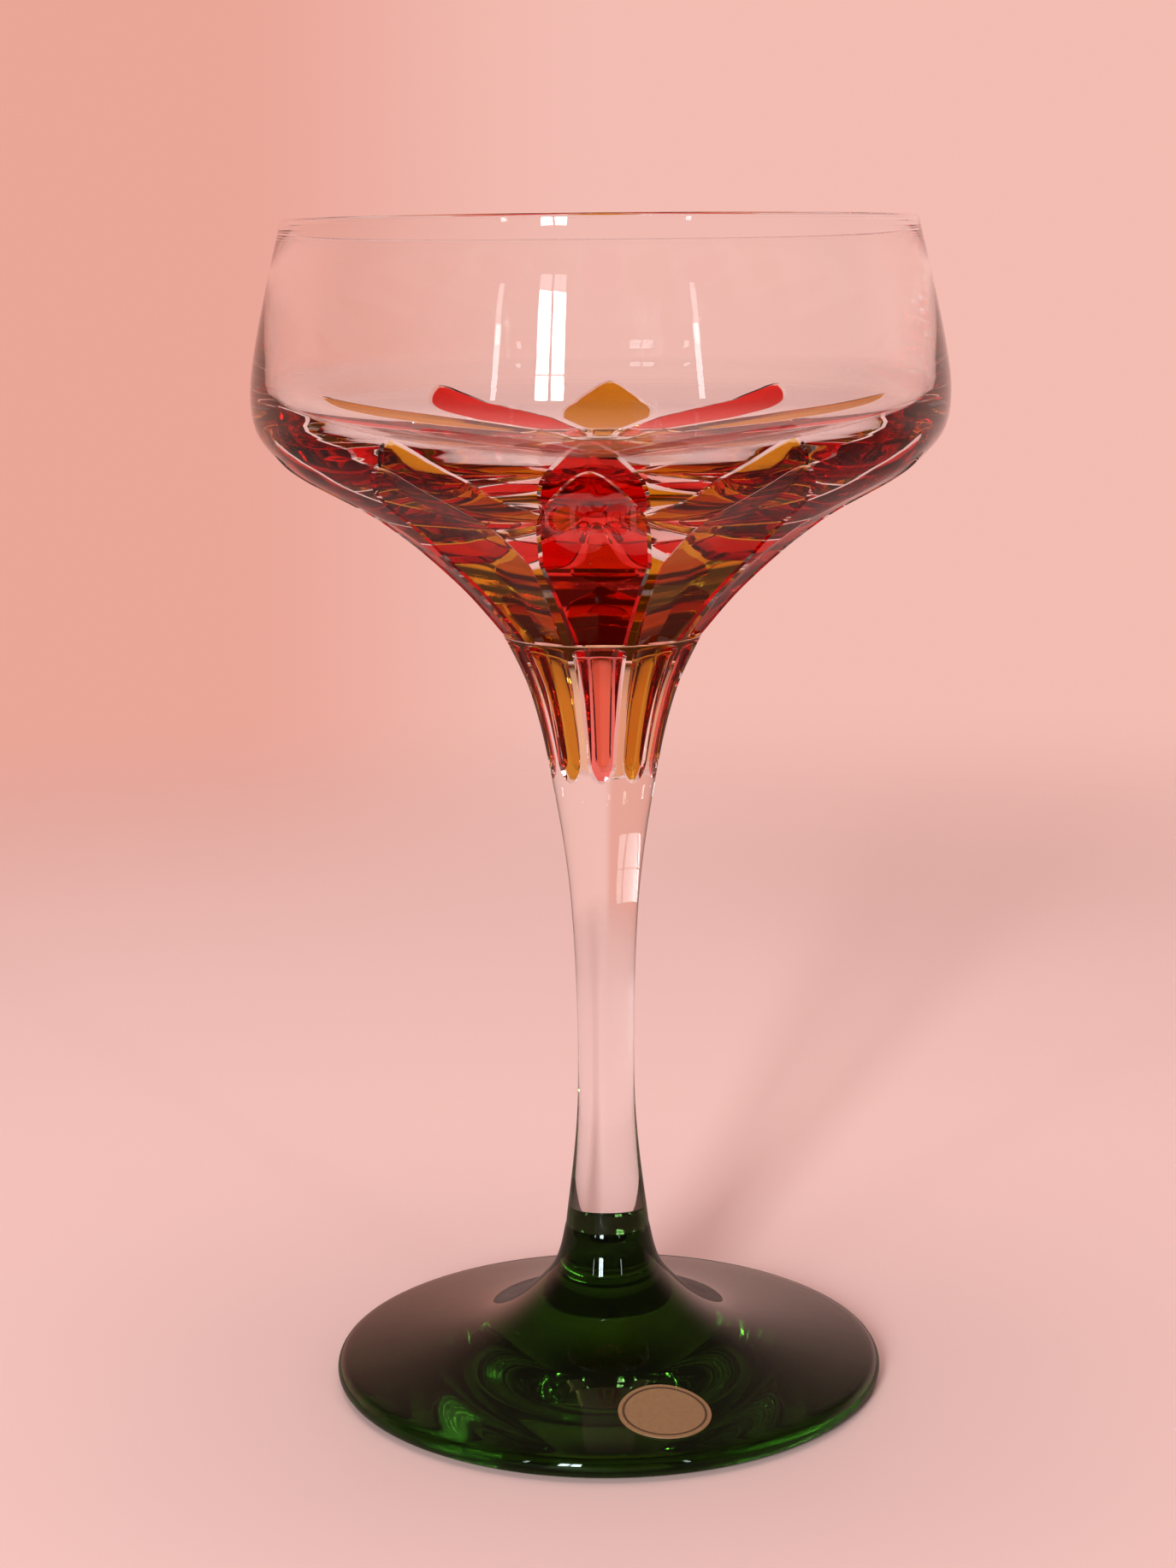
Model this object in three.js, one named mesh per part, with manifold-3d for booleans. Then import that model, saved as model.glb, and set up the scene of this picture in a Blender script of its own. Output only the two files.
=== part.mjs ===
// A cut crystal champagne coupe: a wide clear bowl on a thick calyx, a fluted neck,
// a slim stem and a green foot.
// Ten columns of cuts run down the calyx and the neck, stained ruby and amber in turn.
// Millimetres, +Z up, the table at z = 0, the axis of the glass on Z, a ruby column facing -Y.
import * as THREE from "three";
import { mergeVertices } from "three/addons/utils/BufferGeometryUtils.js";
import Module from "manifold-3d";

// Foot: a flat round disc that rises to a trumpet flare
const FOOT_DIAMETER = 75.6;
const FOOT_EDGE_THICKNESS = 3;
const FOOT_HEIGHT = 20.8; // table to the joint with the stem
const FOOT_JOINT_DIAMETER = 11.5;
const FLARE_DIAMETER = 16.8; // where the trumpet opens out
const FLARE_HEIGHT = 13.6;
const APRON_DIAMETER = 36.2; // where the flare has become the sloping top of the disc
const APRON_HEIGHT = 6.5;

// Stem: a solid clear drawn stem with a fluted neck at its top
const STEM_LENGTH = 82.6; // joint with the foot to the shoulder joint
const STEM_DIAMETER = 7.9; // at its slimmest
const STEM_SLIM_RISE = 18.5; // joint with the foot to the slimmest place
const STEM_UPPER_DIAMETER = 9.2;
const STEM_UPPER_DROP = 38; // shoulder joint down to that diameter
const NECK_DIAMETER = 14.5; // at the foot of the flutes
const NECK_DROP = 19.3;
const NECK_MIDDLE_DIAMETER = 19.9;
const NECK_MIDDLE_DROP = 8;
const SHOULDER_DIAMETER = 27.1; // at the joint of stem and bowl
const SHOULDER_EDGE_DROP = 0.3; // how far the shoulder falls straight down

// Bowl: a shallow cup with nearly upright walls over the calyx
const BOWL_HEIGHT = 56.6; // shoulder joint to rim
const RIM_DIAMETER = 86;
const RIM_THICKNESS = 1.2;
const WIDEST_DIAMETER = 94.5;
const WIDEST_RISE = 33.6; // shoulder joint to the widest ring
const HIP_INSET = 4; // from the widest ring in to the hip, where the underside turns up into the wall
const HIP_RISE = 24.1;
const CALYX_MIDDLE_DIAMETER = 59.9;
const CALYX_MIDDLE_RISE = 15.6;
const CALYX_LOW_DIAMETER = 39.6;
const CALYX_LOW_RISE = 7;
const CALYX_THICKNESS = 18.1; // shoulder joint to the middle of the inner floor

// Inside of the cup: a rounded bottom up to its widest place, then the wall up to the lip
const CUP_WALL_INSET = 2.02; // the thickness of the wall at that place
const CUP_WALL_RISE = 17.8; // the middle of the inner floor to that place
const CUP_FLOOR_POWER = 1.47; // how full the bottom is near its middle: 2 is an ellipse
const CUP_SIDE_POWER = 2.77; // how full it is near the wall
const CUP_LIP_POWER = 1.9; // how late the wall turns in towards the lip

// Cuts: ten leaf petals under the bowl and ten flutes on the neck, one of each to a column
const COLUMNS = 10;
const PETAL_WIDTH = 14.4;
const PETAL_TIP_RISE = 25.6; // shoulder joint to the point of a petal
const PETAL_ARCH_LENGTH = 13.7; // length of the arch at the tip, seen from below
const PETAL_ARCH_POWER = 0.5; // 0.5 is a round arch, 1 a sharp one
const PETAL_RIDGE_WIDTH = 1.2; // clear glass left between two petals
const PETAL_END_MARGIN = 0.25; // clear glass between a petal's foot and the shoulder joint
const PETAL_CREASE_ANGLE = 6; // degrees that each half of a petal rises from its middle crease
const FLUTE_TOP_MARGIN = 0.25; // clear glass between a flute's top and the shoulder joint
const FLUTE_LENGTH = 19.2;
const FLUTE_END_LENGTH = 3; // length of the rounded lower end
const FLUTE_RIDGE_WIDTH = 0.8;
const FLUTE_WHEEL_RADIUS = 6; // radius of the hollow across a flute
const STAIN_THICKNESS = 0.7; // radial thickness of a stained panel
const SEAT_CLEARANCE = 0.1; // behind a stained panel
const EDGE_CLEARANCE = 0.12; // round a stained panel

// Label: a round paper seal on the sloping top of the foot
const LABEL_DIAMETER = 12.2;
const LABEL_THICKNESS = 0.15;
const LABEL_GLUE = 0.05;
const LABEL_CENTRE_RADIUS = 27.6; // from the axis of the glass
const LABEL_TURN = 17.2; // degrees to the right of the front

// Fineness of round and curved shapes
const ROUND_STEPS = 40;
const CURVE_STEPS = 9;
const WALL_STEPS = 5;
const FLUTE_STEPS = 4;
const REACH = 20; // how far cutting blocks stand outside the glass
const BISECTIONS = 40; // halvings when a curve is searched for a height
const WELD_DISTANCE = 1e-4; // corners closer than this are one corner

const SHOULDER_HEIGHT = FOOT_HEIGHT + STEM_LENGTH;
const RIM_HEIGHT = SHOULDER_HEIGHT + BOWL_HEIGHT;
const HALF_COLUMN = Math.PI / COLUMNS;

const wasm = await Module();
wasm.setup();

// A closed geometry as a solid that can be joined and cut.
function solidOf(geometry) {
  const bare = new THREE.BufferGeometry();
  bare.setAttribute("position", geometry.getAttribute("position"));
  bare.setIndex(geometry.getIndex());
  const merged = mergeVertices(bare, WELD_DISTANCE);
  const corners = merged.getIndex().array;
  const kept = [];
  for (let i = 0; i < corners.length; i += 3) {
    const [a, b, c] = corners.slice(i, i + 3);
    if (a !== b && b !== c && c !== a) kept.push(a, b, c);
  }
  const mesh = new wasm.Mesh({
    numProp: 3,
    vertProperties: merged.getAttribute("position").array,
    triVerts: new Uint32Array(kept),
  });
  return new wasm.Manifold(mesh);
}

function geometryOf(solid) {
  const { vertProperties, triVerts } = solid.getMesh();
  const geometry = new THREE.BufferGeometry();
  geometry.setAttribute("position", new THREE.BufferAttribute(vertProperties, 3));
  geometry.setIndex(new THREE.BufferAttribute(triVerts, 1));
  return geometry;
}

function point(diameter, height) {
  return new THREE.Vector2(diameter / 2, height);
}

// A turned solid from a profile of radii and heights that starts and ends on the axis.
function turned(profile) {
  return solidOf(new THREE.LatheGeometry(profile, ROUND_STEPS).rotateX(Math.PI / 2));
}

// The point of a rising or falling profile curve at one height.
function atHeight(curve, height) {
  const rising = curve.getPoint(1).y > curve.getPoint(0).y;
  let low = 0;
  let high = 1;
  for (let i = 0; i < BISECTIONS; i += 1) {
    const middle = (low + high) / 2;
    const below = curve.getPoint(middle).y < height;
    if (below === rising) low = middle;
    else high = middle;
  }
  return curve.getPoint((low + high) / 2);
}

// Heights from one end to the other, closer together towards the far end, where outlines round off.
function easedHeights(from, to) {
  const heights = [];
  for (let i = 0; i <= CURVE_STEPS; i += 1) {
    heights.push(from + (to - from) * Math.sin((Math.PI / 2) * (i / CURVE_STEPS)));
  }
  return heights;
}

// A block outside a bent surface. The surface follows a valley line, lowest point first,
// and across the column it rises from that line by the given function.
function cuttingBlock(valley, width, steps, rise) {
  const lowest = valley[0];
  const highest = valley[valley.length - 1];
  const far = Math.max(lowest.x, highest.x) + REACH;
  const outline = new THREE.Shape(valley);
  outline.lineTo(far, highest.y);
  outline.lineTo(far, lowest.y - REACH);
  outline.lineTo(lowest.x, lowest.y - REACH);
  const block = new THREE.ExtrudeGeometry(outline, { depth: width, steps, bevelEnabled: false });
  block.translate(0, 0, -width / 2);
  const places = block.getAttribute("position");
  for (let i = 0; i < places.count; i += 1) {
    places.setX(i, places.getX(i) + rise(Math.abs(places.getZ(i))));
  }
  const out = new THREE.Vector3(0, -1, 0);
  const up = new THREE.Vector3(0, 0, 1);
  const across = new THREE.Vector3(-1, 0, 0);
  return solidOf(block.applyMatrix4(new THREE.Matrix4().makeBasis(out, up, across)));
}

// The bowl's outside, from the shoulder joint to the rim.
const bowlOutside = new THREE.SplineCurve([
  point(SHOULDER_DIAMETER, SHOULDER_HEIGHT),
  point(CALYX_LOW_DIAMETER, SHOULDER_HEIGHT + CALYX_LOW_RISE),
  point(CALYX_MIDDLE_DIAMETER, SHOULDER_HEIGHT + CALYX_MIDDLE_RISE),
  point(WIDEST_DIAMETER - 2 * HIP_INSET, SHOULDER_HEIGHT + HIP_RISE),
  point(WIDEST_DIAMETER, SHOULDER_HEIGHT + WIDEST_RISE),
  point(RIM_DIAMETER, RIM_HEIGHT - RIM_THICKNESS / 2),
]);

// The cup's inside, from the lip down to the middle of its floor.
const lipRadius = RIM_THICKNESS / 2;
const lipHeight = RIM_HEIGHT - lipRadius;
const mouthRadius = RIM_DIAMETER / 2 - RIM_THICKNESS;
const cupWideRadius = WIDEST_DIAMETER / 2 - CUP_WALL_INSET;
const cupWideHeight = SHOULDER_HEIGHT + CALYX_THICKNESS + CUP_WALL_RISE;

function cupInside(steps) {
  const wall = [];
  const bottom = [];
  for (let i = 0; i < steps; i += 1) {
    const share = 1 - i / steps;
    const radius = cupWideRadius - (cupWideRadius - mouthRadius) * share ** CUP_LIP_POWER;
    wall.push(new THREE.Vector2(radius, cupWideHeight + (lipHeight - cupWideHeight) * share));
    const turn = (share * Math.PI) / 2;
    const out = cupWideRadius * Math.sin(turn) ** (2 / CUP_FLOOR_POWER);
    const drop = CUP_WALL_RISE * Math.cos(turn) ** (2 / CUP_SIDE_POWER);
    bottom.push(new THREE.Vector2(out, cupWideHeight - drop));
  }
  return [...wall, ...bottom, new THREE.Vector2(0, cupWideHeight - CUP_WALL_RISE)];
}

// The stem's outside, from the shoulder joint down to the joint with the foot.
const stemOutside = new THREE.SplineCurve([
  point(SHOULDER_DIAMETER, SHOULDER_HEIGHT - SHOULDER_EDGE_DROP),
  point(NECK_MIDDLE_DIAMETER, SHOULDER_HEIGHT - NECK_MIDDLE_DROP),
  point(NECK_DIAMETER, SHOULDER_HEIGHT - NECK_DROP),
  point(STEM_UPPER_DIAMETER, SHOULDER_HEIGHT - STEM_UPPER_DROP),
  point(STEM_DIAMETER, FOOT_HEIGHT + STEM_SLIM_RISE),
  point(FOOT_JOINT_DIAMETER, FOOT_HEIGHT),
]);

// The foot's upper side, from the joint with the stem out to the top of its rounded edge.
const footEdgeRadius = FOOT_EDGE_THICKNESS / 2;
const footTop = new THREE.SplineCurve([
  point(FOOT_JOINT_DIAMETER, FOOT_HEIGHT),
  point(FLARE_DIAMETER, FLARE_HEIGHT),
  point(APRON_DIAMETER, APRON_HEIGHT),
  point(FOOT_DIAMETER - FOOT_EDGE_THICKNESS, FOOT_EDGE_THICKNESS),
]);

// The front petal, row by row from its foot to its tip:
// sides that open out along the ridges, then an arch.
const petalFootHeight = SHOULDER_HEIGHT + PETAL_END_MARGIN;
const petalTip = atHeight(bowlOutside, SHOULDER_HEIGHT + PETAL_TIP_RISE);
const creaseRise = Math.tan(THREE.MathUtils.degToRad(PETAL_CREASE_ANGLE));

const petalRows = easedHeights(petalFootHeight, petalTip.y).map((height) => {
  const radius = atHeight(bowlOutside, height).x;
  const along = Math.min((petalTip.x - radius) / PETAL_ARCH_LENGTH, 1);
  const arch = (PETAL_WIDTH / 2) * (1 - (1 - along) ** 2) ** PETAL_ARCH_POWER;
  const half = Math.min(arch, radius * Math.sin(HALF_COLUMN) - PETAL_RIDGE_WIDTH / 2);
  const forward = Math.sqrt(radius ** 2 - half ** 2);
  return { half, forward, height, valley: forward - half * creaseRise };
});

// The front flute, row by row from its top to its rounded lower end.
const fluteTopHeight = SHOULDER_HEIGHT - SHOULDER_EDGE_DROP - FLUTE_TOP_MARGIN;
const fluteEndHeight = fluteTopHeight - FLUTE_LENGTH;

const fluteRows = easedHeights(fluteTopHeight, fluteEndHeight).map((height) => {
  const radius = atHeight(stemOutside, height).x;
  const along = Math.min((height - fluteEndHeight) / FLUTE_END_LENGTH, 1);
  const widest = radius * Math.sin(HALF_COLUMN) - FLUTE_RIDGE_WIDTH / 2;
  const half = widest * Math.sqrt(1 - (1 - along) ** 2);
  const forward = Math.sqrt(radius ** 2 - half ** 2);
  return { half, forward, height, valley: forward - half ** 2 / (2 * FLUTE_WHEEL_RADIUS) };
});

// The front petal's creased cut and the front flute's hollow cut,
// sunk by a radial depth below the finished face.
function petalCut(depth) {
  const valley = petalRows.map((row) => new THREE.Vector2(row.valley - depth, row.height));
  return cuttingBlock(valley, PETAL_WIDTH + REACH, 2, (across) => across * creaseRise);
}

function fluteCut(depth) {
  const valley = fluteRows.map((row) => new THREE.Vector2(row.valley - depth, row.height));
  const width = SHOULDER_DIAMETER * Math.sin(HALF_COLUMN);
  const hollow = (across) => across ** 2 / (2 * FLUTE_WHEEL_RADIUS);
  return cuttingBlock(valley.reverse(), width, FLUTE_STEPS, hollow);
}

// A closed outline from the right-hand edge of a petal or flute and its mirror image,
// pulled in all round by an inset.
function mirroredOutline(rows, inset, placeOf) {
  const first = placeOf(rows[0]);
  const last = placeOf(rows[rows.length - 1]);
  const middle = (first + last) / 2;
  const shrink = 1 - (2 * inset) / Math.abs(last - first);
  const right = rows
    .filter((row) => row.half > inset)
    .map((row) => new THREE.Vector2(row.half - inset, middle + (placeOf(row) - middle) * shrink));
  const left = right.map((p) => new THREE.Vector2(-p.x, p.y)).reverse();
  return new THREE.Shape([...right, ...left]);
}

// The petal's edge as a wall that stands upright, and the flute's as a wall that reaches forward.
function petalEdge(inset) {
  const outline = mirroredOutline(petalRows, inset, (row) => -row.forward);
  const wall = new THREE.ExtrudeGeometry(outline, { depth: BOWL_HEIGHT, bevelEnabled: false });
  return solidOf(wall.translate(0, 0, SHOULDER_HEIGHT));
}

function fluteEdge(inset) {
  const outline = mirroredOutline(fluteRows, inset, (row) => row.height);
  const wall = new THREE.ExtrudeGeometry(outline, { depth: SHOULDER_DIAMETER, bevelEnabled: false });
  return solidOf(wall.rotateX(Math.PI / 2));
}

function bowlBlank() {
  const calyx = bowlOutside.getPoints(CURVE_STEPS * 2);
  const lip = [];
  for (let i = 1; i < WALL_STEPS; i += 1) {
    const turn = (Math.PI * i) / WALL_STEPS;
    const across = lipRadius * (Math.cos(turn) - 1);
    lip.push(new THREE.Vector2(RIM_DIAMETER / 2 + across, lipHeight + lipRadius * Math.sin(turn)));
  }
  const joint = new THREE.Vector2(0, SHOULDER_HEIGHT);
  return turned([joint, ...calyx, ...lip, ...cupInside(CURVE_STEPS)]);
}

function stemBlank() {
  const side = stemOutside.getPoints(CURVE_STEPS * 2).reverse();
  const foot = new THREE.Vector2(0, FOOT_HEIGHT);
  const top = new THREE.Vector2(0, SHOULDER_HEIGHT);
  return turned([foot, ...side, point(SHOULDER_DIAMETER, SHOULDER_HEIGHT), top]);
}

// The upper side of the foot, lifted straight up, from the edge of the disc to the joint with the stem.
function footTopPoints(lift) {
  const points = footTop.getPoints(CURVE_STEPS).reverse();
  return points.map((p) => new THREE.Vector2(p.x, p.y + lift));
}

function footBlank() {
  const underside = FOOT_DIAMETER / 2 - footEdgeRadius;
  const edge = [];
  for (let i = 0; i < WALL_STEPS; i += 1) {
    const turn = Math.PI * (i / WALL_STEPS - 0.5);
    const out = underside + footEdgeRadius * Math.cos(turn);
    edge.push(new THREE.Vector2(out, footEdgeRadius * (1 + Math.sin(turn))));
  }
  const bottom = new THREE.Vector2(0, 0);
  const top = new THREE.Vector2(0, FOOT_HEIGHT);
  return turned([bottom, ...edge, ...footTopPoints(0), top]);
}

// A paper disc cut from a thin skin that follows the top of the foot.
function labelSolid() {
  const middle = new THREE.Vector2(0, FOOT_HEIGHT);
  const skin = (lift) => {
    const points = footTopPoints(lift);
    const rim = new THREE.Vector2(points[0].x, 0);
    return turned([new THREE.Vector2(0, 0), rim, ...points, middle.clone().setY(FOOT_HEIGHT + lift)]);
  };
  const paper = skin(LABEL_GLUE + LABEL_THICKNESS).subtract(skin(LABEL_GLUE));
  const radius = LABEL_DIAMETER / 2;
  const disc = new THREE.CylinderGeometry(radius, radius, FOOT_HEIGHT + REACH, ROUND_STEPS);
  const turn = THREE.MathUtils.degToRad(LABEL_TURN);
  disc.rotateX(Math.PI / 2);
  disc.translate(Math.sin(turn) * LABEL_CENTRE_RADIUS, -Math.cos(turn) * LABEL_CENTRE_RADIUS, 0);
  return paper.intersect(solidOf(disc));
}

function glass(color) {
  return new THREE.MeshStandardMaterial({ color, roughness: 0.04, metalness: 0 });
}

const clearCrystal = glass(0xf3ece6);
const rubyStain = glass(0xa30b14);
const amberStain = glass(0xc58a2e);
const bottleGreen = glass(0x1d3d1a);
const kraftPaper = new THREE.MeshStandardMaterial({ color: 0x9c5f3c, roughness: 0.7, metalness: 0 });

function place(group, name, solid, material) {
  const mesh = new THREE.Mesh(geometryOf(solid), material);
  mesh.name = name;
  group.add(mesh);
  return mesh;
}

// The same cut in every column of a blank.
function cutAllColumns(blank, cut) {
  const geometry = geometryOf(cut);
  let left = blank;
  for (let column = 0; column < COLUMNS; column += 1) {
    left = left.subtract(solidOf(geometry.clone().rotateZ(2 * HALF_COLUMN * column)));
  }
  return left;
}

// One stained panel in every column, ruby in front and amber next to it.
function placePanels(group, kind, panel) {
  for (let column = 0; column < COLUMNS; column += 1) {
    const ruby = column % 2 === 0;
    const number = Math.floor(column / 2) + 1;
    const name = `${kind}_${ruby ? "ruby" : "amber"}_${number}`;
    const mesh = place(group, name, panel, ruby ? rubyStain : amberStain);
    mesh.rotation.z = 2 * HALF_COLUMN * column;
  }
}

const coupe = new THREE.Group();
const recess = STAIN_THICKNESS + SEAT_CLEARANCE;

place(coupe, "bowl", cutAllColumns(bowlBlank(), petalCut(recess).intersect(petalEdge(0))), clearCrystal);
const petal = petalCut(STAIN_THICKNESS).subtract(petalCut(0)).intersect(petalEdge(EDGE_CLEARANCE));
const petals = new THREE.Group();
placePanels(petals, "petal", petal);
coupe.add(petals);

place(coupe, "stem", cutAllColumns(stemBlank(), fluteCut(recess).intersect(fluteEdge(0))), clearCrystal);
const flute = fluteCut(STAIN_THICKNESS).subtract(fluteCut(0)).intersect(fluteEdge(EDGE_CLEARANCE));
const flutes = new THREE.Group();
placePanels(flutes, "flute", flute);
coupe.add(flutes);

place(coupe, "foot", footBlank(), bottleGreen);
place(coupe, "label", labelSolid(), kraftPaper);

export default coupe;
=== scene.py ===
import math

import bmesh
import bpy
import numpy as np
from mathutils import Matrix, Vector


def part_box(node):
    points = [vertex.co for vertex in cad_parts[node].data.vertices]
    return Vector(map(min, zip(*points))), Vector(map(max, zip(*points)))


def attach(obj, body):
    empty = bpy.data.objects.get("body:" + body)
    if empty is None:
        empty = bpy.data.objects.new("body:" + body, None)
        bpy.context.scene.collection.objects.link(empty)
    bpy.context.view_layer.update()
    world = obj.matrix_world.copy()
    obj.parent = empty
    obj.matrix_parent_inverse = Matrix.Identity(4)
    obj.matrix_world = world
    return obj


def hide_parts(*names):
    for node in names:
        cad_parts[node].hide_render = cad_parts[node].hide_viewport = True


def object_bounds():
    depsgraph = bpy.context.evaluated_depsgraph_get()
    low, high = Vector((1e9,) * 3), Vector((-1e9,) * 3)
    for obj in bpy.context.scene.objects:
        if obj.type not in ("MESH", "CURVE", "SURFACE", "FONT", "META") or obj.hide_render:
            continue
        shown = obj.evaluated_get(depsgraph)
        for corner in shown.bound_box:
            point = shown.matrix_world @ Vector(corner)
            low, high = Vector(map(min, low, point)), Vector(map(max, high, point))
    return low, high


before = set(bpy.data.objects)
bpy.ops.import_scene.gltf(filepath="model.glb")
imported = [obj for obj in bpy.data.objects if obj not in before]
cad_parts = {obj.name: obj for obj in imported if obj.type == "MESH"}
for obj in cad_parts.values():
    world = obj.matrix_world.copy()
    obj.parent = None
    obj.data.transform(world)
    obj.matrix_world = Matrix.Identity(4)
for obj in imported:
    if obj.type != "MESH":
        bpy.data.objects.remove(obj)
cad_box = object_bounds()

# The coupe is drawn in millimetres and turned into metres when a mesh is made.
MM = 0.001
BODY = "root"

# Heights of the joints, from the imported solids
FOOT_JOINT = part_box("stem")[0].z / MM
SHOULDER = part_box("stem")[1].z / MM
RIM = cad_box[1].z / MM

# Foot: radius and height of the places that its upper side passes through
FOOT_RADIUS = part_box("foot")[1].x / MM
FOOT_EDGE_RADIUS = 1.5
FOOT_JOINT_RADIUS = 5.75
FLARE = (8.4, 13.6)
APRON = (18.1, 6.5)

# Stem: radii, with heights above the foot joint or drops below the shoulder
STEM_SLIM_RADIUS = 3.95
STEM_SLIM_RISE = 18.5
STEM_UPPER_RADIUS = 4.6
STEM_UPPER_DROP = 38.0
NECK_RADIUS = 7.25
NECK_DROP = 19.3
NECK_MIDDLE_RADIUS = 9.95
NECK_MIDDLE_DROP = 8.0
SHOULDER_RADIUS = 13.55
SHOULDER_EDGE = 0.1

# Bowl: radii, with heights above the shoulder
CALYX_LOW = (19.8, 7.0)
CALYX_MIDDLE = (29.95, 15.6)
HIP = (43.25, 24.1)
WIDEST = (47.25, 33.6)
RIM_RADIUS = 43.0
RIM_WALL = 1.2

# Cup: its floor and its widest place above the shoulder, and how full its curves are
CALYX_THICKNESS = 18.1
CUP_WIDE = (45.23, 35.9)
CUP_BOTTOM_POWERS = (1.47, 2.77)
CUP_WALL_POWER = 1.9

# Cuts: ten columns, each with a creased petal under the bowl and a hollow flute on the neck
COLUMNS = 10
HALF_COLUMN = math.pi / COLUMNS
FRONT = -math.pi / 2
PETAL_HALF_WIDTH = 7.2
PETAL_FOOT_MARGIN = 0.1
PETAL_TIP_RISE = 25.6
PETAL_ARCH = 13.7
PETAL_ARCH_POWER = 0.57
PETAL_RIDGE = 1.2
PETAL_CREASE = math.tan(math.radians(6.0))
FLUTE_TOP_MARGIN = 0.1
FLUTE_TOP_ROUND = 0.9
FLUTE_LENGTH = 19.5
FLUTE_END_ROUND = 3.0
FLUTE_RIDGE = 0.8
FLUTE_HOLLOW_RADIUS = 6.0

# Clear edge of a cut, the step down to the face inside it, and the depths of the stain and its seat
CUT_EDGE = 0.5
CUT_EDGE_STEP = 0.25
STAIN_DEPTH = 0.6
SEAT_DEPTH = 0.68

# Label: a round paper seal on the sloping top of the foot
LABEL_RADIUS = 6.1
LABEL_THICKNESS = 0.15
LABEL_GLUE = 0.05
LABEL_CENTRE = 27.6
LABEL_TURN = math.radians(17.2)
LABEL_LINE_RADIUS = 5.4
LABEL_LINE_WIDTH = 0.35

# Fineness of the meshes
STRIP_STEPS = 14
FACET_STEPS = 12
CURVE_STEPS = 600
ROUND_STEPS = 8
CUP_SKIP = 7
FOOT_SKIP = 12
WELD = 1e-8
SHARP_EDGE = math.radians(40)
PETAL_SHARP_EDGE = math.radians(9)

# Photograph frame and camera, in metres and degrees
IMAGE_HEIGHT = 1833
SENSOR = 36.0
FOCAL_PIXELS = 3285.5
CAMERA_PLACE = (-0.00185, -0.3813, 0.1545)
CAMERA_PITCH = 5.2
CAMERA_TURN = 2.2
CAMERA_ROLL = -0.5
CAMERA_SHIFT = -0.1722
CAMERA_NEAR = 0.01


# Profiles

def smooth_curve(points):
    """A smooth curve through the given (radius, height) points."""
    places = np.array(points, float)
    padded = np.vstack([places[:1], places, places[-1:]])
    travel = np.linspace(0, len(places) - 1, CURVE_STEPS)
    index = np.minimum(travel.astype(int), len(places) - 2)
    share = (travel - index)[:, None]
    before, start, end, after = (padded[index + k] for k in range(4))
    leave, arrive = (end - before) / 2, (after - start) / 2
    cubic = 2 * start - 2 * end + leave + arrive
    square = 3 * end - 3 * start - 2 * leave - arrive
    return cubic * share**3 + square * share**2 + leave * share + start


def radius_at(curve, heights):
    order = np.argsort(curve[:, 1])
    return np.interp(heights, curve[order, 1], curve[order, 0])


def height_at(curve, radii):
    order = np.argsort(curve[:, 0])
    return np.interp(radii, curve[order, 0], curve[order, 1])


BOWL_OUTSIDE = smooth_curve([
    (SHOULDER_RADIUS, SHOULDER),
    (CALYX_LOW[0], SHOULDER + CALYX_LOW[1]),
    (CALYX_MIDDLE[0], SHOULDER + CALYX_MIDDLE[1]),
    (HIP[0], SHOULDER + HIP[1]),
    (WIDEST[0], SHOULDER + WIDEST[1]),
    (RIM_RADIUS, RIM - RIM_WALL / 2),
])
CALYX_OUTSIDE = BOWL_OUTSIDE[:np.argmax(BOWL_OUTSIDE[:, 0])]
STEM_OUTSIDE = smooth_curve([
    (SHOULDER_RADIUS, SHOULDER - SHOULDER_EDGE),
    (NECK_MIDDLE_RADIUS, SHOULDER - NECK_MIDDLE_DROP),
    (NECK_RADIUS, SHOULDER - NECK_DROP),
    (STEM_UPPER_RADIUS, SHOULDER - STEM_UPPER_DROP),
    (STEM_SLIM_RADIUS, FOOT_JOINT + STEM_SLIM_RISE),
    (FOOT_JOINT_RADIUS, FOOT_JOINT),
])
FOOT_TOP = smooth_curve([
    (FOOT_JOINT_RADIUS, FOOT_JOINT),
    FLARE,
    APRON,
    (FOOT_RADIUS - FOOT_EDGE_RADIUS, 2 * FOOT_EDGE_RADIUS),
])


def cup_inside():
    """A rounded bottom from the middle of the floor to the widest place, then the wall to the lip."""
    turn = np.linspace(0, math.pi / 2, CURVE_STEPS // 2)
    radius, top = CUP_WIDE[0], SHOULDER + CUP_WIDE[1]
    bottom = np.stack([
        radius * np.sin(turn) ** (2 / CUP_BOTTOM_POWERS[0]),
        top - (CUP_WIDE[1] - CALYX_THICKNESS) * np.cos(turn) ** (2 / CUP_BOTTOM_POWERS[1]),
    ], -1)
    share = np.linspace(0, 1, CURVE_STEPS // 2)[1:]
    wall = np.stack([
        radius - (radius - RIM_RADIUS + RIM_WALL) * share**CUP_WALL_POWER,
        top + (RIM - RIM_WALL / 2 - top) * share,
    ], -1)
    return np.concatenate([bottom, wall])


def eased(count):
    """Shares from 0 to 1 that start close together."""
    return (np.arange(count + 1) / count) ** 2


def rounded(distance, length, power=0.5):
    """How wide an outline is, as a share, at a distance from its rounded end."""
    left = 1 - np.clip(distance / length, 0, 1)
    return (1 - left**2) ** power


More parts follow.
